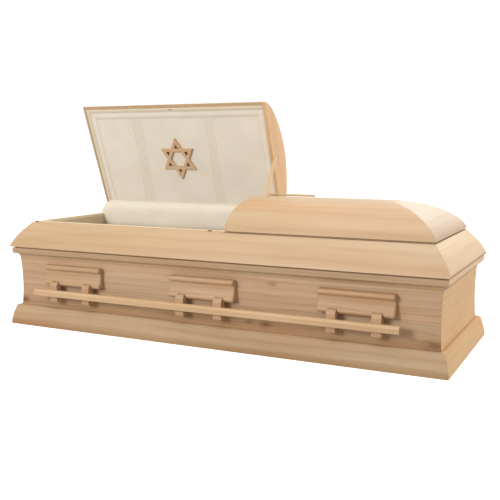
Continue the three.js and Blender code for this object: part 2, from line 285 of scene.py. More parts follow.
@dataclass(frozen=True)
class PlanedPine:
    """Pine, planed and sanded under thin satin lacquer: pale wood, faint tan rings, fine streaks, soft sheen.

    Real rings are 2 to 5 mm apart and fibres far finer. Both are drawn coarser, so that they show at the
    distance of the picture. Between the two heights of painted_shade_reach the wood darkens downwards to
    painted_shade_tint: painted shade for shadow that falls low on a piece or under a lip.
    """

    name: str
    early: str
    late: str
    # Colour of the eased edges: partly rubbed wear, partly painted highlight
    worn_and_lit_edge: str
    blush: str = "FFF0E6"
    ring_mm: float = 26.0
    fibre_mm: float = 4.0
    fibre_length_mm: float = 420.0
    wander_mm: tuple[float, float] = (1111.0, 200.0)
    cloud_mm: tuple[float, float] = (625.0, 58.8)
    stave_mm: float = 4000.0
    stave_tone: float = 0.0
    contrast: float = 1.0
    gloss: float = 0.45
    roughness: float = 0.44
    painted_shade_tint: str = "FFFFFF"
    painted_shade_reach: tuple[float, float] = (0.0, 0.03)
    knots: tuple[Knot, ...] = ()
    knot_tint: str = "6E4B30"
    knot_edge_mm: float = 16.7

    def build(self) -> bpy.types.Material:
        """Makes the material.

        Returns:
            The wood, reading the grain and arris attributes of each piece.
        """
        material, tree, shader = new_material(self.name)
        shader.inputs["IOR"].default_value = 1.5
        shader.inputs["Specular IOR Level"].default_value = self.gloss
        grain = add_node(tree, "ShaderNodeAttribute", {"attribute_name": "grain"}).outputs["Vector"]
        stave = self._stave(tree, grain)
        figure, fibre, drift = self._figure(tree, grain, stave)
        colour = self._colour(tree, figure, drift, stave)
        tree.links.new(colour, shader.inputs["Base Color"])
        sheen = add_node(tree, "ShaderNodeMath", {"operation": "MULTIPLY_ADD"},
                         {0: fibre, 1: 0.16, 2: self.roughness - 0.08})
        tree.links.new(sheen.outputs[0], shader.inputs["Roughness"])
        bump = add_node(tree, "ShaderNodeBump", None,
                        {"Strength": 0.22, "Distance": 0.35 * MM, "Height": fibre})
        tree.links.new(bump.outputs["Normal"], shader.inputs["Normal"])
        return material

    def _stave(self, tree: bpy.types.NodeTree, grain: bpy.types.NodeSocket) -> bpy.types.Node:
        """Gives each glued-up stave its own random tone and figure.

        Args:
            tree: The material's nodes.
            grain: Place in the wood, in metres along, across and into it.

        Returns:
            Random numbers of the stave.
        """
        axes = add_node(tree, "ShaderNodeSeparateXYZ", None, {0: grain})
        row = add_node(tree, "ShaderNodeMath", {"operation": "DIVIDE"},
                       {0: axes.outputs["Y"], 1: self.stave_mm * MM})
        index = add_node(tree, "ShaderNodeMath", {"operation": "FLOOR"}, {0: row.outputs[0]})
        return add_node(tree, "ShaderNodeTexWhiteNoise", {"noise_dimensions": "1D"}, {"W": index.outputs[0]})

    def _figure(
        self, tree: bpy.types.NodeTree, grain: bpy.types.NodeSocket, stave: bpy.types.Node
    ) -> tuple[bpy.types.NodeSocket, bpy.types.NodeSocket, bpy.types.NodeSocket]:
        """Draws the rings, fibres and clouds of the wood.

        Args:
            tree: The material's nodes.
            grain: Place in the wood, in metres along, across and into it.
            stave: Random numbers of the stave.

        Returns:
            The figure from early (0) to late wood (1), the fibre streaks alone, and a slow drift for the hue.
        """
        wander_size, cloud_size, fibre_size = (
            (per_metre(along), per_metre(across), per_metre(across))
            for along, across in (self.wander_mm, self.cloud_mm, (self.fibre_length_mm, self.fibre_mm))
        )
        shifted = add_node(tree, "ShaderNodeVectorMath", {"operation": "MULTIPLY_ADD"},
                           {0: stave.outputs["Color"], 1: (2.0, 0.17, 0.08), 2: grain})
        stretched = add_node(tree, "ShaderNodeVectorMath", {"operation": "MULTIPLY"},
                             {0: shifted.outputs[0], 1: wander_size})
        wander = add_node(tree, "ShaderNodeTexNoise", None,
                          {"Vector": stretched.outputs[0], "Scale": 1.0, "Detail": 2.0, "Roughness": 0.5})
        warped = add_node(tree, "ShaderNodeVectorMath", {"operation": "MULTIPLY_ADD"},
                          {0: wander.outputs["Color"], 1: (0.0, 0.06, 0.06), 2: shifted.outputs[0]})
        rings = add_node(tree, "ShaderNodeTexWave",
                         {"wave_type": "RINGS", "rings_direction": "X", "wave_profile": "SAW"},
                         {"Vector": warped.outputs[0], "Scale": wave_scale(self.ring_mm), "Distortion": 1.6,
                          "Detail": 3.0, "Detail Scale": 0.6})
        late = add_node(tree, "ShaderNodeValToRGB", None, {0: rings.outputs["Fac"]},
                        [(0.0, (0.25,) * 3 + (1,)), (0.12, (0.0,) * 3 + (1,)), (0.62, (0.18,) * 3 + (1,)),
                         (0.93, (1.0,) * 3 + (1,)), (1.0, (0.25,) * 3 + (1,))])
        combed = add_node(tree, "ShaderNodeVectorMath", {"operation": "MULTIPLY"},
                          {0: warped.outputs[0], 1: fibre_size})
        fibre = add_node(tree, "ShaderNodeTexNoise", None,
                         {"Vector": combed.outputs[0], "Scale": 1.0, "Detail": 4.0, "Roughness": 0.62})
        clouded = add_node(tree, "ShaderNodeVectorMath", {"operation": "MULTIPLY"},
                           {0: shifted.outputs[0], 1: cloud_size})
        cloud = add_node(tree, "ShaderNodeTexNoise", None,
                         {"Vector": clouded.outputs[0], "Scale": 1.0, "Detail": 3.0, "Roughness": 0.55})
        parts = ((late.outputs["Color"], 0.20, 0.3), (fibre.outputs["Fac"], 0.50, 0.5),
                 (cloud.outputs["Fac"], 0.80, 0.5))
        figure = 0.5 - self.contrast * sum(weight * middle for _, weight, middle in parts)
        for part, weight, _ in parts:
            added = add_node(tree, "ShaderNodeMath", {"operation": "MULTIPLY_ADD"},
                             {0: part, 1: weight * self.contrast, 2: figure})
            figure = added.outputs[0]
        return figure, fibre.outputs["Fac"], wander.outputs["Fac"]

    def _colour(
        self,
        tree: bpy.types.NodeTree,
        figure: bpy.types.NodeSocket,
        drift: bpy.types.NodeSocket,
        stave: bpy.types.Node,
    ) -> bpy.types.NodeSocket:
        """Colours the figure, tones the staves, pales eased edges as wear and painted highlight, paints shade
        downwards and adds the knots.

        Args:
            tree: The material's nodes.
            figure: Early to late wood, from 0 to 1.
            drift: Slow drift from yellow wood (0) to pink wood (1).
            stave: Random numbers of the stave.

        Returns:
            The colour socket.
        """
        wood = add_node(tree, "ShaderNodeValToRGB", None, {0: figure},
                        [(0.2, linear(self.early)), (0.8, linear(self.late))])
        tone = add_node(tree, "ShaderNodeMath", {"operation": "MULTIPLY_ADD"},
                        {0: stave.outputs["Value"], 1: 2 * self.stave_tone, 2: 1 - self.stave_tone})
        toned = add_node(tree, "ShaderNodeVectorMath", {"operation": "SCALE"},
                         {0: wood.outputs["Color"], "Scale": tone.outputs[0]})
        pinkness = add_node(tree, "ShaderNodeMath", {"operation": "MULTIPLY_ADD", "use_clamp": True},
                            {0: drift, 1: 2.6, 2: -0.9})
        pinked = add_node(tree, "ShaderNodeMix", {"data_type": "RGBA", "blend_type": "MULTIPLY"},
                          {0: pinkness.outputs[0], 6: toned.outputs[0], 7: linear(self.blush)})
        # Eased edges paled: partly rubbed wear, partly painted highlight along the arris
        arris = add_node(tree, "ShaderNodeAttribute", {"attribute_name": "arris"})
        wear_and_highlight_mask = add_node(tree, "ShaderNodeMath", {"operation": "MULTIPLY"}, {0: arris.outputs["Fac"], 1: 0.35})
        worn_and_lit_edge = add_node(tree, "ShaderNodeMix", {"data_type": "RGBA"},
                          {0: wear_and_highlight_mask.outputs[0], 6: pinked.outputs[2], 7: linear(self.worn_and_lit_edge)})
        place = add_node(tree, "ShaderNodeTexCoord").outputs["Object"]
        height = add_node(tree, "ShaderNodeSeparateXYZ", None, {0: place})
        # Painted shade: darker towards the bottom of the piece, between the two painted_shade_reach heights
        low = add_node(tree, "ShaderNodeMapRange", {"interpolation_type": "SMOOTHSTEP"},
                       {0: height.outputs["Z"], 1: self.painted_shade_reach[0], 2: self.painted_shade_reach[1], 3: 1.0, 4: 0.0})
        painted_shade_mix = add_node(tree, "ShaderNodeMix", {"data_type": "RGBA", "blend_type": "MULTIPLY"},
                          {0: low.outputs[0], 6: worn_and_lit_edge.outputs[2], 7: linear(self.painted_shade_tint)})
        colour = painted_shade_mix.outputs[2]
        for knot in self.knots:
            colour = self._knot(tree, place, knot, colour)
        return colour

    def _knot(
        self, tree: bpy.types.NodeTree, place: bpy.types.NodeSocket, knot: Knot, colour: bpy.types.NodeSocket
    ) -> bpy.types.NodeSocket:
        """Darkens the wood at one knot.

        Args:
            tree: The material's nodes.
            place: Place in the model, in metres.
            knot: The knot.
            colour: Colour without it.

        Returns:
            Colour with it.
        """
        apart = add_node(tree, "ShaderNodeVectorMath", {"operation": "SUBTRACT"},
                         {0: place, 1: (knot.x, 0.0, knot.z)})
        ragged = add_node(tree, "ShaderNodeTexNoise", None,
                          {"Vector": place, "Scale": per_metre(self.knot_edge_mm), "Detail": 2.0})
        scaled = add_node(tree, "ShaderNodeVectorMath", {"operation": "MULTIPLY"},
                          {0: apart.outputs[0], 1: (0.42 / knot.radius, 0.0, 1 / knot.radius)})
        reach = add_node(tree, "ShaderNodeVectorMath", {"operation": "LENGTH"}, {0: scaled.outputs[0]})
        uneven = add_node(tree, "ShaderNodeMath", {"operation": "MULTIPLY_ADD"},
                          {0: ragged.outputs["Fac"], 1: 0.4, 2: reach.outputs["Value"]})
        dark = add_node(tree, "ShaderNodeValToRGB", None, {0: uneven.outputs[0]},
                        [(0.30, (knot.depth,) * 3 + (1,)), (0.62, (0.5 * knot.depth,) * 3 + (1,)),
                         (1.0, (0.0, 0.0, 0.0, 1.0))])
        burnt = add_node(tree, "ShaderNodeMix", {"data_type": "RGBA"},
                         {0: dark.outputs["Color"], 6: colour, 7: linear(self.knot_tint)})
        return burnt.outputs[2]


@dataclass(frozen=True)
class CottonCrepe:
    """Cream cotton crepe: matt plain weave with slubs, soft to the eye.

    Real threads are about 0.5 mm apart. They are drawn coarser so that the weave shows.
    """

    name: str
    light: str
    shade: str
    # Painted shade in creases, along the seam and on the turned hem, where the fold attribute is set
    crease: str = "CDBE9F"
    thread_mm: float = 2.6
    slub_mm: float = 7.0
    slub_length_mm: float = 111.0
    mottle_mm: float = 143.0
    roughness: float = 0.92

    def build(self) -> bpy.types.Material:
        """Makes the material.

        Returns:
            The cloth, reading the weave attribute of each piece, and its fold attribute, which paints shade
            into its creases.
        """
        material, tree, shader = new_material(self.name)
        shader.inputs["IOR"].default_value = 1.46
        shader.inputs["Specular IOR Level"].default_value = 0.15
        shader.inputs["Sheen Weight"].default_value = 0.12
        shader.inputs["Sheen Roughness"].default_value = 0.6
        weave = add_node(tree, "ShaderNodeAttribute", {"attribute_name": "weave"}).outputs["Vector"]
        threads = []
        for direction in ("X", "Y"):
            thread = add_node(tree, "ShaderNodeTexWave", {"wave_type": "BANDS", "bands_direction": direction},
                              {"Vector": weave, "Scale": wave_scale(self.thread_mm), "Distortion": 0.8,
                               "Detail": 2.0, "Detail Scale": 1.5})
            threads.append(thread.outputs["Fac"])
        cloth = add_node(tree, "ShaderNodeMath", {"operation": "MULTIPLY"}, {0: threads[0], 1: threads[1]})
        drawn = add_node(tree, "ShaderNodeVectorMath", {"operation": "MULTIPLY"},
                         {0: weave, 1: (per_metre(self.slub_length_mm), per_metre(self.slub_mm), 1.0)})
        slub = add_node(tree, "ShaderNodeTexNoise", None,
                        {"Vector": drawn.outputs[0], "Scale": 1.0, "Detail": 3.0, "Roughness": 0.6})
        mottle = add_node(tree, "ShaderNodeTexNoise", None,
                          {"Vector": weave, "Scale": per_metre(self.mottle_mm), "Detail": 2.0})
        patchy = add_node(tree, "ShaderNodeMath", {"operation": "MULTIPLY_ADD"},
                          {0: slub.outputs["Fac"], 1: 0.4, 2: mottle.outputs["Fac"]})
        woven = add_node(tree, "ShaderNodeMath", {"operation": "MULTIPLY_ADD"},
                         {0: cloth.outputs[0], 1: -0.25, 2: patchy.outputs[0]})
        colour = add_node(tree, "ShaderNodeValToRGB", None, {0: woven.outputs[0]},
                          [(0.3, linear(self.light)), (1.0, linear(self.shade))])
        # Painted shade: the cloth turns to the crease colour where fold is set
        fold = add_node(tree, "ShaderNodeAttribute", {"attribute_name": "fold"})
        crease_shaded = add_node(tree, "ShaderNodeMix", {"data_type": "RGBA"},
                           {0: fold.outputs["Fac"], 6: colour.outputs["Color"], 7: linear(self.crease)})
        tree.links.new(crease_shaded.outputs[2], shader.inputs["Base Color"])
        relief = add_node(tree, "ShaderNodeMath", {"operation": "MULTIPLY_ADD"},
                          {0: slub.outputs["Fac"], 1: 0.5, 2: cloth.outputs[0]})
        bump = add_node(tree, "ShaderNodeBump", None,
                        {"Strength": 0.30, "Distance": 0.5 * MM, "Height": relief.outputs[0]})
        tree.links.new(bump.outputs["Normal"], shader.inputs["Normal"])
        dull = add_node(tree, "ShaderNodeMath", {"operation": "MULTIPLY_ADD"},
                        {0: slub.outputs["Fac"], 1: 0.10, 2: self.roughness - 0.06})
        tree.links.new(dull.outputs[0], shader.inputs["Roughness"])
        return material


@dataclass(frozen=True)
class BrushedSteel:
    """Plain steel, brushed along its length: grey metal with fine scratches and dull patches."""

    name: str
    colour: str
    tarnish: str
    scratch_mm: float = 0.8
    scratch_length_mm: float = 33.3
    patch_mm: float = 22.2
    roughness: float = 0.36

    def build(self) -> bpy.types.Material:
        """Makes the material.

        Returns:
            The metal, in the model's own coordinates.
        """
        material, tree, shader = new_material(self.name)
        shader.inputs["Metallic"].default_value = 1.0
        place = add_node(tree, "ShaderNodeTexCoord").outputs["Object"]
        fine = per_metre(self.scratch_mm)
        drawn = add_node(tree, "ShaderNodeVectorMath", {"operation": "MULTIPLY"},
                         {0: place, 1: (per_metre(self.scratch_length_mm), fine, fine)})
        scratch = add_node(tree, "ShaderNodeTexNoise", None, {"Vector": drawn.outputs[0], "Scale": 1.0})
        patch = add_node(tree, "ShaderNodeTexNoise", None,
                         {"Vector": place, "Scale": per_metre(self.patch_mm), "Detail": 3.0})
        colour = add_node(tree, "ShaderNodeValToRGB", None, {0: patch.outputs["Fac"]},
                          [(0.35, linear(self.colour)), (0.75, linear(self.tarnish))])
        tree.links.new(colour.outputs["Color"], shader.inputs["Base Color"])
        rough = add_node(tree, "ShaderNodeMath", {"operation": "MULTIPLY_ADD"},
                         {0: scratch.outputs["Fac"], 1: 0.25, 2: self.roughness - 0.12})
        tree.links.new(rough.outputs[0], shader.inputs["Roughness"])
        return material


# Knots of the long panels, where the front shows them
PANEL_KNOTS = (
    Knot(-1.004, 0.116, 0.026),
    Knot(0.293, 0.122, 0.022),
    Knot(0.216, 0.125, 0.016, 0.7),
    Knot(0.992, 0.112, 0.034, 0.7),
    Knot(0.322, 0.293, 0.018, 0.45),
)


@dataclass(frozen=True)
class Finishes:
    """All the finishes of the coffin, built once and shared."""

    # Long sides: glued staves that differ a little in tone, darker towards the floor in painted shade
    panel: PlanedPine = PlanedPine("Pine_planed_glued_panel", "C3AC92", "A68A6C", "C9B196", stave_mm=93,
                                   stave_tone=0.06, contrast=1.1, gloss=0.2, roughness=0.55,
                                   painted_shade_tint="E2D5C2", painted_shade_reach=(0.11, 0.17), knots=PANEL_KNOTS)
    moulding: PlanedPine = PlanedPine("Pine_planed_moulding", "BAA388", "A58B6A", "C6AB8C", gloss=0.2,
                                      roughness=0.55, painted_shade_tint="E4D6C4", painted_shade_reach=(0.004, 0.04))
    # Crown and ledge: wide, clear boards, painted paler as painted light where they face up
    rim: PlanedPine = PlanedPine("Pine_planed_crown", "BEA688", "B09470", "CDB291", ring_mm=34)
    ledge: PlanedPine = PlanedPine("Pine_planed_ledge", "D6C4A4", "CAB592", "E0D1B4", ring_mm=34,
                                   contrast=0.8)
    # Short ends: the side wood painted yellower, and paler on the crown, as painted light where the lamp at
    # the foot falls and shines; painted shadow lines under the rim and the band
    end_panel: PlanedPine = PlanedPine("Pine_planed_end_panel", "D1B189", "C1A176", "D3B690", gloss=0.08,
                                       roughness=0.6)
    end_rim: PlanedPine = PlanedPine("Pine_planed_end_crown", "CDB592", "C0A47C", "D8C2A0", ring_mm=34,
                                     painted_shade_tint="9C8468", painted_shade_reach=(0.377, 0.383))
    end_band: PlanedPine = PlanedPine("Pine_planed_end_band", "D1B189", "C1A176", "D3B690", gloss=0.08,
                                      painted_shade_tint="9C8468", painted_shade_reach=(0.344, 0.350))
    # Lid: wide staves; on the hip a greyer copy, painted shade that tones down the light on it; warmer on the
    # end board
    lid: PlanedPine = PlanedPine("Pine_planed_lid_staves", "BDA483", "AF9370", "CDB291", ring_mm=34,
                                 stave_mm=110, stave_tone=0.03)
    hip: PlanedPine = PlanedPine("Pine_planed_lid_hip", "B4A084", "A9906F", "C4AB8C", ring_mm=34)
    end_board: PlanedPine = PlanedPine("Pine_planed_end_board", "D5B58C", "C49F71", "D5B58C", ring_mm=30)
    # Handles and star: small sections with narrow rings, and dark floors in the star's points, painted shade
    # for holes that are only in shadow
    handle: PlanedPine = PlanedPine("Pine_moulded_handle", "BCA082", "A88865", "CAB090", ring_mm=14,
                                    fibre_mm=3.5, gloss=0.3)
    bar: PlanedPine = PlanedPine("Pine_planed_bar", "C7AB8A", "B3936E", "CFB494", ring_mm=20, fibre_mm=3.5,
                                 gloss=0.3)
    star: PlanedPine = PlanedPine("Pine_sawn_star", "CDB291", "B99C7A", "D2B89A", ring_mm=14, fibre_mm=3.0)
    # Painted shade: the dark floors of the star's holes
    pocket: PlanedPine = PlanedPine("Pine_painted_shade_floor", "6E4B2F", "583A22", "6E4B2F", ring_mm=14,
                                    fibre_mm=3.0, gloss=0.1, roughness=0.7)
    # Cloth: cream where it is stretched, and a tan copy on the box's walls as painted shade of the box's
    # inside
    crepe: CottonCrepe = CottonCrepe("Cotton_crepe_woven", "E5DFD4", "DAD2C6")
    wall_crepe: CottonCrepe = CottonCrepe("Cotton_crepe_painted_shade", "D2C2A6", "C8B698")
    padding: CottonCrepe = CottonCrepe("Cotton_crepe_padded", "DDD6C9", "D6CDBD")
    # Fittings: bright hinges, and catch plates blackened in oil
    steel: BrushedSteel = BrushedSteel("Steel_brushed", "A7A29A", "6F6A62")
    black_steel: BrushedSteel = BrushedSteel("Steel_oil_blackened", "57422F", "38291D")


# Making and placing pieces


@dataclass
class Bench:
    """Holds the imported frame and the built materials, and turns solids into finished pieces."""

    frame: dict
    finishes: Finishes = field(default_factory=Finishes)
    materials: dict[str, bpy.types.Material] = field(default_factory=dict)

    def material(self, finish: PlanedPine | CottonCrepe | BrushedSteel) -> bpy.types.Material:
        """Gives a finish's material, built the first time it is asked for.

        Args:
            finish: The finish.

        Returns:
            Its material.
        """
        if finish.name not in self.materials:
            self.materials[finish.name] = finish.build()
        return self.materials[finish.name]

    def body_of(self, node: str) -> str:
        """Gives the name of the body that a node belongs to."""
        groups = self.frame["record"]["behaviour"]["bodies"]
        return next(body for body, members in groups.items() if node in members)

    def lid_hinge(self) -> dict:
        """Gives the joint of the head lid."""
        return next(joint for joint in self.frame["joints"] if joint["name"] == "head_lid_hinge")

    def lid_swing(self) -> Matrix:
        """Works out how the head lid swings from closed to where it rests open.

        Returns:
            The turn about the hinge line.
        """
        hinge = self.lid_hinge()
        place = Matrix.Translation(Vector(hinge["pos_m"]))
        turn = Matrix.Rotation(-math.radians(hinge["range_deg"][1]), 4, Vector(hinge["axis"]))
        return place @ turn @ place.inverted()

    def closed_box(self, node: str) -> tuple[Vector, Vector]:
        """Measures a node of the head lid with the lid closed.

        Args:
            node: Node of the head lid.

        Returns:
            Its lowest and highest corners.
        """
        back = self.lid_swing().inverted()
        corners = [back @ v.co for v in self.frame["nodes"][node].data.vertices]
        low = Vector(min(c[i] for c in corners) for i in range(3))
        high = Vector(max(c[i] for c in corners) for i in range(3))
        return low, high

    def place(
        self,
        piece: bpy.types.Object,
        body: str,
        slot: Slot,
        finish: PlanedPine | CottonCrepe | BrushedSteel,
        nodes: tuple[str, ...] = (),
    ) -> bpy.types.Object:
        """Gives a piece its finish and its body, and hides the nodes it stands for.

        Args:
            piece: The new object.
            body: Body that it rides on.
            slot: Not used.
            finish: Finish of its surface.
            nodes: Nodes that it replaces.

        Returns:
            The same piece.
        """
        piece.data.materials.clear()
        piece.data.materials.append(self.material(finish))
        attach(piece, body)
        if nodes:
            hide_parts(*nodes)
        LOG.info("%s: %d faces on %s", piece.name, len(piece.data.polygons), body)
        return piece

    def wooden(
        self,
        node: str,
        grain: Grain,
        finish: PlanedPine,
        slot: Slot,
        arris: float = 0.8 * MM,
        steps: int = 2,
        tilt: Matrix | None = None,
        round_ends: float = 0.0,
    ) -> bpy.types.Object:
        """Makes the finished wooden piece of a node: edges eased, surfaces smooth, grain laid along it.

        Args:
            node: Node to copy.
            grain: Way that the grain runs.
            finish: Finish of the wood.
            slot: Record slot.
            arris: Width of the eased edge.
            steps: Steps across the eased edge.
            tilt: Turn that brings a slanting piece upright before its grain is laid.
            round_ends: Radius around the piece's two ends along X.

        Returns:
            The piece.
        """
        body = self.body_of(node)
        solid = bmesh.new()
        solid.from_mesh(self.frame["nodes"][node].data)
        clean_up(solid)
        if round_ends:
            round_off_ends(solid, round_ends)
        middle = ease_edges(solid, arris, steps)
        mesh = mesh_from(f"{node}_wood", solid)
        shade_smooth(mesh, WOOD_CORNER)
        # Middles of the eased edges, which the wood pales as wear and painted highlight
        wear_and_highlight_mask = mesh.attributes.new("arris", "FLOAT", "POINT")
        wear_and_highlight_mask.data.foreach_set("value", [1.0 if i in middle else 0.0 for i in range(len(mesh.vertices))])
        back = self.lid_swing().inverted() if body == "head_lid" else Matrix()
        if tilt:
            back = tilt
        set_vectors(mesh, "grain", grain_places(node, [back @ v.co for v in mesh.vertices], grain))
        piece = object_from(f"{node}_wood", mesh)
        fair = piece.modifiers.new("fair_faces", "WEIGHTED_NORMAL")
        fair.keep_sharp = True
        return self.place(piece, body, slot, finish, (node,))


def clean_up(solid: bmesh.types.BMesh) -> None:
    """Joins the doubled points of a faceted solid and merges its flat facets into whole faces."""
    bmesh.ops.remove_doubles(solid, verts=solid.verts, dist=0.01 * MM)
    bmesh.ops.dissolve_limit(solid, angle_limit=math.radians(0.5), verts=solid.verts, edges=solid.edges)


def is_sharp(edge: bmesh.types.BMEdge) -> bool:
    """Tells whether an edge between two faces is a real corner of the wood."""
    return len(edge.link_faces) == 2 and edge.calc_face_angle() > math.radians(38)


def round_off_ends(solid: bmesh.types.BMesh, radius: float, steps: int = 4) -> None:
    """Rounds the outline of a solid's two ends along X, but not where it lies against the coffin's side.

    Args:
        solid: The solid, changed in place.
        radius: Radius of the rounding.
        steps: Steps around it.
    """
    places = [v.co.x for v in solid.verts]
    ends = (min(places), max(places))
    outward = sum(v.co.y for v in solid.verts)
    rim = []
    for edge in solid.edges:
        at_end = any(all(abs(v.co.x - end) < 0.05 * MM for v in edge.verts) for end in ends)
        if not at_end or not is_sharp(edge):
            continue
        if all(face.normal.y * outward > -0.7 * abs(outward) for face in edge.link_faces):
            rim.append(edge)
    bmesh.ops.bevel(solid, geom=rim, offset=radius, segments=steps, profile=0.5, affect="EDGES",
                    offset_type="OFFSET", clamp_overlap=True)


def ease_edges(solid: bmesh.types.BMesh, arris: float, steps: int) -> set[int]:
    """Eases the sharp edges of a solid, where both faces beside them are wide enough.

    Args:
        solid: The solid, changed in place.
        arris: Width of the eased edge.
        steps: Steps across it.

    Returns:
        Indexes of the vertices along the middle of the eased edges.
    """
    sharp = []
    for edge in solid.edges:
        if not is_sharp(edge):
            continue
        start = edge.verts[0].co
        run = (edge.verts[1].co - start).normalized()
        widths = [max((v.co - start).cross(run).length for v in face.verts) for face in edge.link_faces]
        if min(widths) > 2.5 * arris and edge.calc_length() > 2.5 * arris:
            sharp.append(edge)
    eased = bmesh.ops.bevel(solid, geom=sharp, offset=arris, segments=steps, profile=0.5, affect="EDGES",
                            offset_type="OFFSET", clamp_overlap=True)
    fresh = set(eased["faces"])
    solid.verts.index_update()
    return {v.index for v in eased["verts"] if v.is_valid and all(f in fresh for f in v.link_faces)}


def grain_places(name: str, corners: list[Vector], grain: Grain) -> list[Vector]:
    """Works out where each point of a piece lies in the board that it was cut from.

    Args:
        name: Piece, which picks its own board.
        corners: Points of the piece.
        grain: Way that the grain runs.

    Returns:
        Metres along, across and into the board, from a heart that is behind the face.
    """
    along, across, into = grain.value
    start, shift, depth = seeds(name, 3)
    middle = sum(c[into] for c in corners) / len(corners)
    heart = 0.06 + 0.08 * depth
    return [
        Vector((c[along] + 5 * start, c[across] + 0.9 * shift, abs(c[into] - middle) + heart))
        for c in corners
    ]


def sheet_mesh(
    name: str, columns: int, rows: int, place: Callable[[float, float], tuple[Vector, tuple[float, float]]]
) -> bpy.types.Mesh:
    """Makes a grid of cloth.

    Args:
        name: Mesh name.
        columns: Cells along the first way.
        rows: Cells along the second way.
        place: Gives a point and its place in the weave for shares from 0 to 1 each way.

    Returns:
        The mesh, with its weave attribute.
    """
    points = []
    weave = []
    for j in range(rows + 1):
        for i in range(columns + 1):
            point, thread = place(i / columns, j / rows)
            points.append(point)
            weave.append(Vector((thread[0], thread[1], 0.0)))
    width = columns + 1
    faces = [
        (j * width + i, j * width + i + 1, (j + 1) * width + i + 1, (j + 1) * width + i)
        for j in range(rows)
        for i in range(columns)
    ]
    mesh = bpy.data.meshes.new(name)
    mesh.from_pydata(points, [], faces)
    shade_smooth(mesh)
    set_vectors(mesh, "weave", weave)
    return mesh


def thicken(piece: bpy.types.Object, thickness: float, offset: float) -> None:
    """Gives a sheet its thickness.

    Args:
        piece: The sheet.
        thickness: Thickness of the cloth.
        offset: Side that it grows to: 1 in front of its face, -1 behind it.
    """
    wall = piece.modifiers.new("cloth_thickness", "SOLIDIFY")
    wall.thickness = thickness
    wall.offset = offset


def plump(piece: bpy.types.Object, pressure: float, cap: float, frames: int = 20) -> None:
    """Swells a closed pad by simulating its cover under air pressure, and keeps the result as its mesh.

    Args:
        piece: The pad.
        pressure: Pressure inside.
        cap: Furthest that a point may move.
        frames: Frames to run.
    """
    scene = bpy.context.scene
    rest = [v.co.copy() for v in piece.data.vertices]
    cover = piece.modifiers.new("cover", "CLOTH")
    cover.settings.use_pressure = True
    cover.settings.uniform_pressure_force = pressure
    cover.settings.effector_weights.gravity = 0.0
    cover.settings.quality = 5
    cover.point_cache.frame_start = 1
    cover.point_cache.frame_end = frames
    for frame in range(1, frames + 1):
        scene.frame_set(frame)
    swollen = piece.evaluated_get(bpy.context.evaluated_depsgraph_get()).data
    moved = [v.co.copy() for v in swollen.vertices]
    piece.modifiers.remove(cover)
    for vertex, before, after in zip(piece.data.vertices, rest, moved):
        step = after - before
        if step.length > cap:
            step *= cap / step.length
        vertex.co = before + step
    scene.frame_set(1)


# Sub-assemblies


@dataclass
class Casework:
    """The box: base, coved panels, band, crown rim and ledge, each in four mitred runs, and the bottom."""

    bench: Bench
    arris: float = 0.7 * MM

    def build(self) -> None:
        """Makes every wooden piece of the box."""
        finishes = self.bench.finishes
        runs = {
            "base_moulding": (finishes.moulding, finishes.end_panel),
            "body_panel": (finishes.panel, finishes.end_panel),
            "band_moulding": (finishes.moulding, finishes.end_band),
            "rim_moulding": (finishes.rim, finishes.end_rim),
            "rim_ledge": (finishes.ledge, finishes.ledge),
        }
        for name, (side_finish, end_finish) in runs.items():
            for side in ("front", "back"):
                self.bench.wooden(f"{name}_{side}", Grain.LONG_UPRIGHT, side_finish, Slot.BODY, self.arris)
            for side in ("head", "foot"):
                self.bench.wooden(f"{name}_{side}", Grain.SHORT_UPRIGHT, end_finish, Slot.BODY, self.arris)
        self.bench.wooden("bottom_board", Grain.LONG_FLAT, finishes.moulding, Slot.BODY, self.arris)


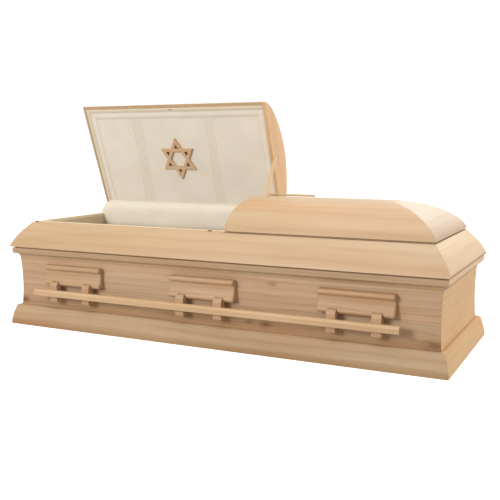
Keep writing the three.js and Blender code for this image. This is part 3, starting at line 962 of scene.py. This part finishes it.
@dataclass
class LidHalves:
    """The hipped lid in two halves, the star inside the open one, the prop and the loose strip."""

    bench: Bench
    arris: float = 0.9 * MM
    board_arris: float = 0.6 * MM
    strip_arris: float = 1.0 * MM
    star_strip: float = 17 * MM
    pocket_depth: float = 3.5 * MM
    pocket_tuck: float = 1 * MM

    def build(self) -> None:
        """Makes the wooden pieces of both halves."""
        bench = self.bench
        finishes = bench.finishes
        for half in ("foot", "head"):
            bench.wooden(f"{half}_lid_top", Grain.LONG_FLAT, finishes.lid, Slot.LID, self.arris)
            bench.wooden(f"{half}_lid_hip", Grain.SHORT_FLAT, finishes.hip, Slot.LID, self.arris)
        bench.wooden("foot_lid_header", Grain.SHORT_UPRIGHT, finishes.lid, Slot.LID, self.arris)
        bench.wooden("head_lid_end_board", Grain.SHORT_UPRIGHT, finishes.end_board, Slot.LID,
                     self.board_arris)
        bench.wooden("star", Grain.LONG_FLAT, finishes.star, Slot.STAR, self.strip_arris)
        self._star_pockets()
        bench.wooden("crest_strip", Grain.LONG_FLAT, finishes.rim, Slot.LID, self.strip_arris)
        upright = self._prop_upright()
        bench.wooden("prop_stick", Grain.STANDING, finishes.lid, Slot.LID, self.strip_arris, tilt=upright)

    def _star_pockets(self) -> None:
        """Closes the six small holes in the star's points with dark floors, a little below its face: painted
        shade for holes that are only in shadow.
        """
        low, high = self.bench.closed_box("star")
        middle = (low + high) / 2
        radius = (high.y - low.y) / 2
        tip = radius - 2 * self.star_strip + 2 * self.pocket_tuck
        base = radius / 2 - self.pocket_tuck
        half = (tip - base) * math.tan(math.radians(30))
        swing = self.bench.lid_swing()
        corners = (Vector((tip, 0, 0)), Vector((base, half, 0)), Vector((base, -half, 0)))
        solid = bmesh.new()
        for i in range(6):
            turn = Matrix.Rotation(math.radians(30 + 60 * i), 3, "Z")
            layers = []
            for z in (low.z + self.pocket_depth, high.z):
                spots = [turn @ corner + Vector((middle.x, middle.y, z)) for corner in corners]
                layers.append([solid.verts.new(swing @ spot) for spot in spots])
            loft(solid, layers)
        mesh = mesh_from("star_pocket_floors", solid)
        closed = swing.inverted()
        places = grain_places("star_pocket_floors", [closed @ v.co for v in mesh.vertices], Grain.LONG_FLAT)
        set_vectors(mesh, "grain", places)
        piece = object_from("star_pocket_floors", mesh)
        self.bench.place(piece, "head_lid", Slot.STAR, self.bench.finishes.pocket)

    def _prop_upright(self) -> Matrix:
        """Works out how the slanting prop is stood upright.

        Returns:
            The turn.
        """
        corners = [v.co for v in self.bench.frame["nodes"]["prop_stick"].data.vertices]
        order = sorted(corners, key=lambda c: c.z)
        half = len(order) // 2
        foot = sum(order[:half], Vector()) / half
        head = sum(order[half:], Vector()) / (len(order) - half)
        return (head - foot).to_track_quat("Z", "X").to_matrix().to_4x4().inverted()


@dataclass
class SwingHandles:
    """Carrying handles of both sides: moulded plates, swinging arms and one long bar each."""

    bench: Bench
    plates: int = 3
    arms: int = 6
    arris: float = 1.2 * MM
    plate_round: float = 6.5 * MM
    arm_round: float = 7.0 * MM

    def build(self) -> None:
        """Makes the plates, arms and bars."""
        bench = self.bench
        wood = bench.finishes.handle
        bar = bench.finishes.bar
        for side in ("front", "back"):
            for i in range(1, self.plates + 1):
                bench.wooden(f"{side}_handle_plate_{i}", Grain.LONG_UPRIGHT, wood, Slot.HANDLE, self.arris,
                             round_ends=self.plate_round)
            for i in range(1, self.arms + 1):
                bench.wooden(f"{side}_handle_arm_{i}", Grain.STANDING, wood, Slot.HANDLE, self.arris,
                             round_ends=self.arm_round)
            bench.wooden(f"{side}_handle_bar", Grain.LONG_UPRIGHT, bar, Slot.HANDLE, self.arris)


@dataclass(frozen=True)
class Pleats:
    """A group of narrow tucks across the lid lining, leaning from the front edge to the hinge side."""

    front_x: float
    hinge_x: float
    spacing: float
    count: int = 4
    width: float = 10 * MM
    height: float = 1.9 * MM

    def relief(self, x: float, share: float) -> tuple[float, float]:
        """Gives the height of the tucks at a point, and how deep in a crease it is.

        Args:
            x: Place along the lid.
            share: Share of the way from the front edge to the hinge side.

        Returns:
            Height above the cloth, and the painted shade of its crease from 0 to 1.
        """
        offset = x - (self.front_x + (self.hinge_x - self.front_x) * share)
        nearest = round(offset / self.spacing)
        if not 0 <= nearest < self.count:
            return 0.0, 0.0
        across = (offset - nearest * self.spacing) / self.width + 0.5
        rise = smoothstep(0.0, 0.75, across) * smoothstep(0.0, 0.25, 1 - across)
        return self.height * rise, smoothstep(0.70, 0.92, across) * smoothstep(-0.3, 0.1, 1 - across)


@dataclass
class LidLining:
    """Crepe stretched over the inside of the head lid, with a turned hem, a padded border and pleats."""

    bench: Bench
    hem: float = 20 * MM
    hem_rise: float = 0.5 * MM
    border: float = 30 * MM
    border_height: float = 3.6 * MM
    seam: float = 7 * MM
    cell: tuple[float, float] = (2.6 * MM, 5.0 * MM)
    thickness: float = 3 * MM
    pleats: tuple[Pleats, ...] = (Pleats(-0.685, -0.714, 15.7 * MM), Pleats(-0.262, -0.281, 13.3 * MM))

    def build(self) -> None:
        """Makes the lining."""
        low, high = self.bench.closed_box("head_lid_lining")
        recess = low.z - self.bench.closed_box("head_lid_top")[0].z
        low -= Vector((self.hem, self.hem, 0))
        high += Vector((0, self.hem, 0))
        swing = self.bench.lid_swing()
        size = high - low
        crease_shades = []

        def place(u: float, v: float) -> tuple[Vector, tuple[float, float]]:
            """Places a point of the cloth.

            Args:
                u: Share of the way along it.
                v: Share of the way across it.

            Returns:
                The point, and its place in the weave.
            """
            x = low.x + u * size.x
            y = low.y + v * size.y
            edge = min(x - low.x, high.x - x + self.hem, y - low.y, high.y - y) - self.hem
            rise, crease = self._relief(x, v, edge)
            turned = 1 - smoothstep(-3 * MM, 1 * MM, edge)
            rise += turned * (recess + self.hem_rise)
            # Painted shade: in the creases, along the seam and on the hem turned into the recess
            crease_shades.append(max(crease, 0.55 * turned))
            return swing @ Vector((x, y, low.z - rise)), (x, y)

        columns = round(size.x / self.cell[0])
        rows = round(size.y / self.cell[1])
        mesh = sheet_mesh("head_lid_lining_crepe", columns, rows, place)
        mesh.attributes.new("fold", "FLOAT", "POINT").data.foreach_set("value", crease_shades)
        piece = object_from("head_lid_lining_crepe", mesh)
        thicken(piece, self.thickness, 1.0)
        self.bench.place(piece, "head_lid", Slot.CLOTH, self.bench.finishes.crepe, ("head_lid_lining",))

    def _relief(self, x: float, share: float, edge: float) -> tuple[float, float]:
        """Gives the height of the cloth at a point, and how deep in a crease it is.

        Args:
            x: Place along the lid.
            share: Share of the way from the front edge to the hinge side.
            edge: Distance from the nearest edge of the panel, below zero on the hem.

        Returns:
            Height towards the opening, and the painted shade of its crease from 0 to 1.
        """
        if edge < 0:
            return 0.0, 0.0
        stitched = 1 - smoothstep(0.0, self.seam, abs(edge - self.border))
        if edge < self.border:
            roll = math.sin(math.pi * edge / self.border)
            return self.border_height * max(roll, 0.0) ** 0.6, 0.3 * stitched
        tucks = [group.relief(x, share) for group in self.pleats]
        ripple = 0.25 * MM * noise.noise(Vector((x * 9, share * 2.2, 4.0)))
        rise = sum(tuck[0] for tuck in tucks) + ripple
        crease = 0.6 * max(tuck[1] for tuck in tucks)
        return rise * (1 - stitched), max(crease * (1 - stitched), 0.3 * stitched)


@dataclass
class BodyLining:
    """Crepe on the inside of the box: walls stretched over thin padding and a floor laid flat."""

    bench: Bench
    fold: float = 160 * MM
    depth: float = 2.4 * MM
    cell: tuple[float, float] = (8 * MM, 14 * MM)
    floor_cell: float = 12 * MM
    floor_lift: float = 4 * MM
    ruck_height: float = 2.2 * MM
    flat_edge: float = 50 * MM
    thickness: float = 2 * MM

    def build(self) -> None:
        """Makes the walls and the floor."""
        floor_low, floor_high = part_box("floor_lining")
        for side in SIDES:
            self._wall(side, floor_high[2])
        self._floor(Vector(floor_low), Vector(floor_high))

    def _wall(self, side: str, bottom: float) -> None:
        """Makes one stretched wall, with faint slack waves.

        Args:
            side: Side of the box.
            bottom: Height of the floor cloth.
        """
        node = f"body_lining_{side}"
        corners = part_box(node)
        low, high = Vector(corners[0]), Vector(corners[1])
        run = 0 if side in ("front", "back") else 1
        face = 1 - run
        inward = 1 if side in ("front", "head") else -1
        outer = low[face] if inward > 0 else high[face]
        length = high[run] - low[run]
        height = high.z - bottom
        start = low[run]
        phase = 40 * seeds(node, 1)[0]

        def place(u: float, v: float) -> tuple[Vector, tuple[float, float]]:
            """Places a point of the cloth.

            Args:
                u: Share of the way along it.
                v: Share of the way across it.

            Returns:
                The point, and its place in the weave.
            """
            along = start + u * length
            z = bottom + v * height
            wander = 0.35 * noise.noise(Vector((along * 3 + phase, z * 4, 0.0)))
            wave = 0.5 + 0.5 * math.sin(2 * math.pi * (along / self.fold + wander))
            slack = 0.2 + 0.8 * math.sin(math.pi * v) ** 0.7
            ends = smoothstep(0.0, self.flat_edge, min(u, 1 - u) * length)
            lift = self.thickness + self.depth * wave * slack * (0.3 + 0.7 * ends)
            point = Vector((0.0, 0.0, z))
            point[run] = along
            point[face] = outer + inward * lift
            return point, (along, z)

        columns = round(length / self.cell[0])
        rows = round(height / self.cell[1])
        piece = object_from(f"{node}_crepe", sheet_mesh(f"{node}_crepe", columns, rows, place))
        thicken(piece, self.thickness, -1.0 if side in ("front", "foot") else 1.0)
        # The walls take the tan copy of the crepe: painted shade of the box's inside
        self.bench.place(piece, "casket_body", Slot.CLOTH, self.bench.finishes.wall_crepe, (node,))

    def _floor(self, low: Vector, high: Vector) -> None:
        """Makes the cloth laid over the bottom board.

        Args:
            low: Lowest corner of the floor cloth.
            high: Highest corner.
        """
        size = high - low

        def place(u: float, v: float) -> tuple[Vector, tuple[float, float]]:
            """Places a point of the cloth.

            Args:
                u: Share of the way along it.
                v: Share of the way across it.

            Returns:
                The point, and its place in the weave.
            """
            x = low.x + u * size.x
            y = low.y + v * size.y
            ruck = noise.noise(Vector((x * 2.5, y * 7, 1.5)))
            ruck += 0.5 * noise.noise(Vector((x * 9, y * 12, 7.5)))
            slack = smoothstep(0.0, self.flat_edge, min(x - low.x, high.x - x, y - low.y, high.y - y))
            return Vector((x, y, low.z + self.floor_lift + self.ruck_height * (1 + ruck) * slack)), (x, y)

        columns = round(size.x / self.floor_cell)
        rows = round(size.y / self.floor_cell)
        mesh = sheet_mesh("floor_lining_crepe", columns, rows, place)
        piece = object_from("floor_lining_crepe", mesh)
        thicken(piece, self.thickness, -1.0)
        self.bench.place(piece, "casket_body", Slot.CLOTH, self.bench.finishes.crepe, ("floor_lining",))


@dataclass
class Overthrow:
    """The padded fold of crepe that rolls over the back of the opening and hides the hinge line."""

    bench: Bench
    head_x: float = -0.974
    foot_x: float = 0.073
    round_end: float = 0.085
    voxel: float = 6 * MM
    swell: float = 7 * MM
    pressure: float = 4.0
    step: float = 20 * MM
    outline: tuple[tuple[float, float], ...] = (
        (0.258, 0.560),
        (0.238, 0.565),
        (0.216, 0.551),
        (0.204, 0.520),
        (0.202, 0.482),
        (0.204, 0.445),
        (0.214, 0.416),
        (0.235, 0.401),
        (0.249, 0.410),
        (0.250, 0.480),
        (0.257, 0.505),
        (0.266, 0.535),
    )

    def build(self) -> None:
        """Makes the roll."""
        piece = object_from("overthrow_crepe", self._blank())
        remesh = piece.modifiers.new("even_cells", "REMESH")
        remesh.mode = "VOXEL"
        remesh.voxel_size = self.voxel
        remeshed = bpy.data.meshes.new_from_object(piece.evaluated_get(bpy.context.evaluated_depsgraph_get()))
        piece.modifiers.remove(remesh)
        piece.data = remeshed
        plump(piece, self.pressure, self.swell)
        self._settle(piece.data)
        mesh = piece.data
        shade_smooth(mesh)
        set_vectors(mesh, "weave", [Vector((v.co.x, v.co.z - v.co.y, 0.0)) for v in mesh.vertices])
        self.bench.place(piece, "casket_body", Slot.CLOTH, self.bench.finishes.padding, ("overthrow_roll",))
        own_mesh(piece)

    def _blank(self) -> bpy.types.Mesh:
        """Lofts the roll's outline along X, drawn in at its head end.

        Returns:
            The closed mesh.
        """
        loop = self._curve()
        centre = sum(loop, Vector((0.0, 0.0))) / len(loop)
        length = self.foot_x - self.head_x
        count = round(length / self.step)
        stations = [self.round_end * (1 - math.cos(math.pi / 2 * i / 8)) for i in range(1, 8)]
        stations += [self.round_end + (length - self.round_end) * i / count for i in range(count + 1)]
        solid = bmesh.new()
        rings = []
        for station in stations:
            reach = min(station / self.round_end, 1.0)
            share = math.sqrt(max(1 - (1 - reach) ** 2, 0.0))
            ring = [centre + (point - centre) * share for point in loop]
            rings.append([solid.verts.new((self.head_x + station, p.x, p.y)) for p in ring])
        loft(solid, rings)
        return mesh_from("overthrow_crepe", solid)

    def _curve(self, steps: int = 4) -> list[Vector]:
        """Rounds the outline with a closed Catmull-Rom curve.

        Args:
            steps: Points for each stretch.

        Returns:
            Points (y, z) around the roll.
        """
        points = [Vector(p) for p in self.outline]
        count = len(points)
        curve = []
        for i in range(count):
            a, b, c, d = (points[(i + k - 1) % count] for k in range(4))
            for s in range(steps):
                t = s / steps
                curve.append(0.5 * (2 * b + (c - a) * t + (2 * a - 5 * b + 4 * c - d) * t * t
                                    + (3 * b - a - 3 * c + d) * t ** 3))
        return curve

    def _settle(self, mesh: bpy.types.Mesh) -> None:
        """Presses soft, shallow pulls into the cover.

        Args:
            mesh: Mesh of the roll, changed in place.
        """
        mesh.update()
        for vertex in mesh.vertices:
            place = vertex.co
            pull = noise.noise(Vector((place.x * 8, place.y * 3, place.z * 5)))
            crease = noise.noise(Vector((place.x * 26 + place.z * 6, place.z * 5, 3.0)))
            vertex.co = place + vertex.normal * (1.6 * MM * pull + 0.5 * MM * crease)


@dataclass
class Fittings:
    """Lid hinges at the back, and the small blackened plates of the lid catch."""

    bench: Bench
    knuckles: int = 5
    joint_gap: float = 0.5 * MM
    barrel: float = 5 * MM
    groove_share: float = 0.18
    lid_catch_x: float = -0.445
    lid_catch_half: tuple[float, float] = (9 * MM, 3.2 * MM)
    lid_catch_inset: float = 26 * MM
    lid_catch_lift: float = 0.4 * MM
    ledge_catches: tuple[float, ...] = (0.003, -0.955)
    ledge_catch_half: tuple[float, float] = (11 * MM, 2.6 * MM)
    catch_rise: float = 0.4 * MM

    def build(self) -> None:
        """Makes the hinges and the catch plates."""
        for i in (1, 2):
            self._hinge(f"lid_hinge_{i}")
        edge = self.bench.closed_box("head_lid_top")[0]
        spot = Vector((self.lid_catch_x, edge.y + self.lid_catch_inset, edge.z - self.lid_catch_lift))
        down = Matrix.Translation(spot) @ Matrix.Rotation(math.pi, 4, "X")
        self._catch("lid_catch_plate", self.lid_catch_half, self.bench.lid_swing() @ down, "head_lid")
        low, high = (Vector(corner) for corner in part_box("rim_ledge_front"))
        middle = (low.z + high.z) / 2
        forward = Matrix.Rotation(math.pi / 2, 4, "X")
        for i, along in enumerate(self.ledge_catches, 1):
            place = Matrix.Translation((along, low.y, middle)) @ forward
            self._catch(f"ledge_catch_plate_{i}", self.ledge_catch_half, place, "casket_body")

    def _hinge(self, node: str) -> None:
        """Makes one hinge: the barrel cut into knuckles, on its leaf.

        Args:
            node: Node of the hinge.
        """
        solid = bmesh.new()
        solid.from_mesh(self.bench.frame["nodes"][node].data)
        clean_up(solid)
        low, high = (Vector(corner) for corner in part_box(node))
        pitch = (high.x - low.x) / self.knuckles
        axis = Vector(self.bench.lid_hinge()["pos_m"])
        for i in range(1, self.knuckles):
            joint = low.x + i * pitch
            for cut in (joint - self.joint_gap, joint + self.joint_gap, joint):
                cut_across(solid, cut)
            for vertex in solid.verts:
                arm = Vector((0, vertex.co.y - axis.y, vertex.co.z - axis.z))
                at_joint = abs(vertex.co.x - joint) < 0.1 * self.joint_gap
                if at_joint and abs(arm.length - self.barrel) < 0.1 * self.barrel:
                    vertex.co -= arm * self.groove_share
        mesh = mesh_from(f"{node}_steel", solid)
        shade_smooth(mesh, STEEL_CORNER)
        piece = object_from(f"{node}_steel", mesh)
        self.bench.place(piece, "casket_body", Slot.STEEL, self.bench.finishes.steel, (node,))

    def _catch(self, name: str, half: tuple[float, float], place: Matrix, body: str) -> None:
        """Makes one catch plate: a thin oval with a raised lip around a sunken middle.

        Args:
            name: Piece name.
            half: Half of its length and width.
            place: Carries the plate from the origin, facing up, to its place on the wood.
            body: Body that it rides on.
        """
        profile = ((0.55, 0.15), (0.72, 0.6), (0.85, 1.0), (1.0, 0.7), (1.06, 0.0))
        sides = 24
        solid = bmesh.new()
        rings = []
        for reach, rise in profile:
            ring = []
            for k in range(sides):
                angle = 2 * math.pi * k / sides
                spot = Vector((half[0] * math.cos(angle) * reach, half[1] * math.sin(angle) * reach, 0.0))
                spot.z = rise * self.catch_rise
                ring.append(solid.verts.new(place @ spot))
            rings.append(ring)
        loft(solid, rings)
        piece = object_from(name, mesh_from(name, solid))
        self.bench.place(piece, body, Slot.STEEL, self.bench.finishes.black_steel)


@dataclass(frozen=True)
class Softbox:
    """A square soft light: where it hangs, where it points, the side of its face, its power and its tint."""

    name: str
    place: tuple[float, float, float]
    aim: tuple[float, float, float]
    size: float
    watts: float
    tint: str = "FFFFFF"

    def build(self) -> None:
        """Hangs the light."""
        lamp = bpy.data.lights.new(self.name, "AREA")
        lamp.color = linear(self.tint)[:3]
        lamp.size = self.size
        lamp.energy = self.watts
        holder = bpy.data.objects.new(self.name, lamp)
        holder.location = self.place
        holder.rotation_euler = (Vector(self.aim) - Vector(self.place)).to_track_quat("-Z", "Y").to_euler()
        bpy.context.scene.collection.objects.link(holder)


@dataclass
class Studio:
    """Pale floor, soft studio light and a camera at the picture's viewing angle."""

    image: int = 500
    focal_px: float = 742.1
    centre_px: tuple[float, float] = (280.0, 250.0)
    azimuth: float = 25.16
    elevation: float = 7.90
    distance: float = 3.3369
    target: tuple[float, float, float] = (0.2034, 0.0, 0.3836)
    sensor: float = 36.0
    room: tuple[str, str] = ("C8C0B5", "FFFFFF")
    room_back: tuple[float, float, float] = (0.1, 0.995, 0.0)
    room_blend: tuple[float, float] = (-0.1, 0.38)
    room_strength: float = 1.03
    floor_half: float = 40.0
    floor_glow: float = 0.5
    roller_mm: float = 333.3
    softboxes: tuple[Softbox, ...] = (
        Softbox("Key_softbox", (-3.1, -8.0, 3.3), (0.0, 0.0, 0.3), 2.6, 445.0),
        Softbox("Top_softbox", (0.2, -0.6, 4.6), (0.1, 0.0, 0.4), 3.0, 110.0),
        Softbox("Back_softbox", (0.9, 4.8, 2.9), (0.7, 0.0, 0.5), 3.0, 62.0),
        Softbox("Right_softbox", (4.4, 2.0, 2.2), (0.9, 0.0, 0.4), 0.9, 62.0, "FFF1E0"),
    )

    def build(self) -> None:
        """Makes the room, which is brighter behind the coffin than in front, the floor, lights and camera."""
        scene = bpy.context.scene
        scene.view_settings.view_transform = "Standard"
        scene.view_settings.look = "None"
        world = bpy.data.worlds.new("Studio")
        world.use_nodes = True
        tree = world.node_tree
        way = add_node(tree, "ShaderNodeTexCoord").outputs["Generated"]
        behind = add_node(tree, "ShaderNodeVectorMath", {"operation": "DOT_PRODUCT"},
                          {0: way, 1: self.room_back})
        share = add_node(tree, "ShaderNodeMapRange", None,
                         {0: behind.outputs["Value"], 1: self.room_blend[0], 2: self.room_blend[1]})
        walls = add_node(tree, "ShaderNodeMix", {"data_type": "RGBA"},
                         {0: share.outputs[0], 6: linear(self.room[0]), 7: linear(self.room[1])})
        tree.links.new(walls.outputs[2], tree.nodes["Background"].inputs["Color"])
        tree.nodes["Background"].inputs["Strength"].default_value = self.room_strength
        scene.world = world
        self._floor()
        for softbox in self.softboxes:
            softbox.build()
        self._camera()

    def _floor(self) -> None:
        """Lays a pale floor that glows a little, so that it stays white, and throws no light on the wood."""
        half = self.floor_half
        mesh = bpy.data.meshes.new("studio_floor")
        corners = [(-half, -half, 0), (half, -half, 0), (half, half, 0), (-half, half, 0)]
        mesh.from_pydata(corners, [], [(0, 1, 2, 3)])
        floor = object_from("studio_floor", mesh)
        paint, tree, shader = new_material("Matt_white_paint_rolled")
        shader.inputs["Roughness"].default_value = 0.9
        shader.inputs["Specular IOR Level"].default_value = 0.1
        shader.inputs["Emission Color"].default_value = linear("FFFFFF")
        shader.inputs["Emission Strength"].default_value = self.floor_glow
        place = add_node(tree, "ShaderNodeTexCoord").outputs["Object"]
        speck = add_node(tree, "ShaderNodeTexNoise", None,
                         {"Vector": place, "Scale": per_metre(self.roller_mm), "Detail": 3.0})
        tint = add_node(tree, "ShaderNodeValToRGB", None, {0: speck.outputs["Fac"]},
                        [(0.3, linear("FDFDFD")), (0.7, linear("FFFFFF"))])
        tree.links.new(tint.outputs["Color"], shader.inputs["Base Color"])
        mesh.materials.append(paint)
        floor.visible_diffuse = False

    def _camera(self) -> None:
        """Sets the camera up."""
        azimuth = math.radians(self.azimuth)
        elevation = math.radians(self.elevation)
        back = Vector((
            math.sin(azimuth) * math.cos(elevation),
            -math.cos(azimuth) * math.cos(elevation),
            math.sin(elevation),
        ))
        lens = bpy.data.cameras.new("Camera")
        lens.sensor_width = self.sensor
        lens.lens = self.focal_px / self.image * self.sensor
        lens.shift_x = (self.image / 2 - self.centre_px[0]) / self.image
        lens.shift_y = (self.centre_px[1] - self.image / 2) / self.image
        lens.clip_end = 200.0
        camera = bpy.data.objects.new("Camera", lens)
        camera.location = Vector(self.target) + back * self.distance
        camera.rotation_euler = back.to_track_quat("Z", "Y").to_euler()
        bpy.context.scene.collection.objects.link(camera)
        bpy.context.scene.camera = camera


def main() -> None:
    """Builds the studio and every sub-assembly in order."""
    logging.basicConfig(level=logging.INFO, format="%(name)s %(message)s")
    bench = Bench(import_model())
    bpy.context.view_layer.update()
    Studio().build()
    Casework(bench).build()
    LidHalves(bench).build()
    SwingHandles(bench).build()
    LidLining(bench).build()
    BodyLining(bench).build()
    Overthrow(bench).build()
    Fittings(bench).build()


if __name__ == "__main__":
    main()
